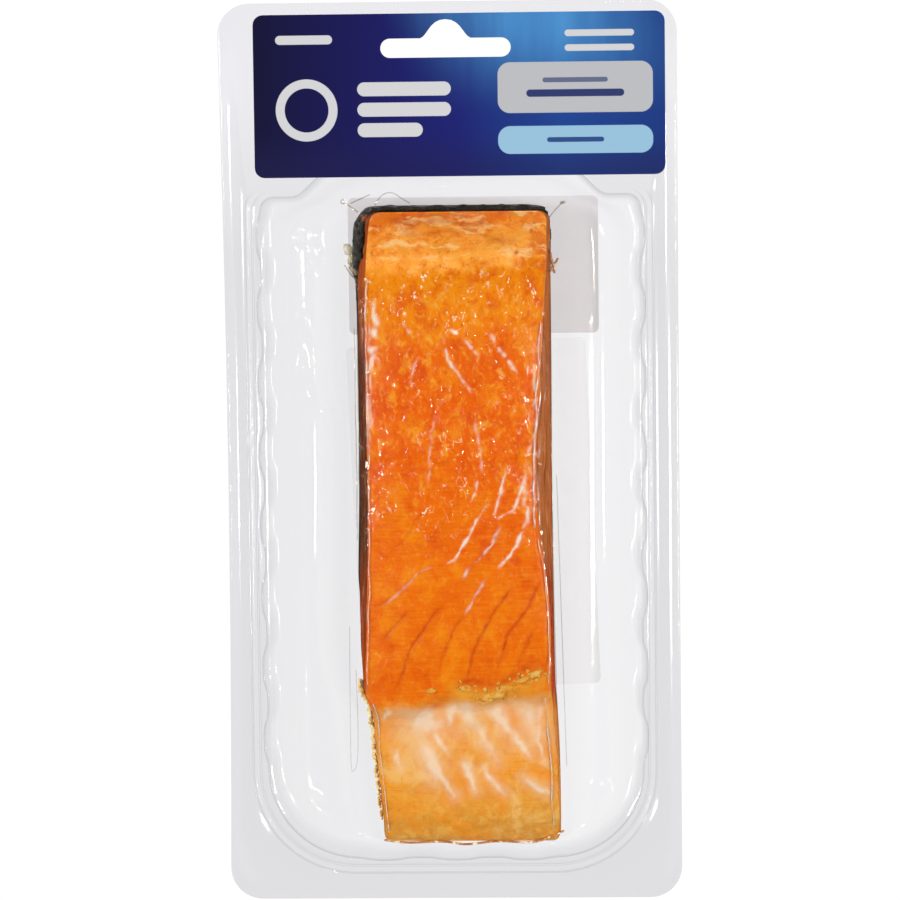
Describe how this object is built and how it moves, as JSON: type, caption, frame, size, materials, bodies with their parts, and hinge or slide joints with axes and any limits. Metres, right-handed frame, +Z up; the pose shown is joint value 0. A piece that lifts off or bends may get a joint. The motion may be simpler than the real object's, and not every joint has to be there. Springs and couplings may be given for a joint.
{
  "type": "sealed hot smoked salmon fillet pack",
  "caption": "Hot smoked salmon fillet sealed under clear skin film on a clear scalloped tray with a printed header label and a hang hole.",
  "frame": {"origin": "under the middle of the pack, on the surface that its back labels rest on", "axes": "+X to the right of the pack's front, +Y along the pack towards its hang-hole header, +Z up out of its front"},
  "size_m": [0.1128, 0.223, 0.0276],
  "materials": {
    "clear_plastic": "clear glossy thermoformed sheet",
    "clear_film": "clear glossy thin film",
    "smoked_flesh": "moist smoked salmon flesh, orange with pale fat",
    "fish_skin": "dark moist fish skin",
    "printed_label": "smooth gloss print in blues",
    "label_paper": "plain pale label paper"
  },
  "bodies": {
    "root": {"clear_tray": "clear_plastic", "skin_film": "clear_film", "salmon_flesh": "smoked_flesh", "salmon_skin": "fish_skin", "header_label": "printed_label", "back_label_upper": "label_paper", "back_label_lower": "label_paper"}
  },
  "joints": []
}
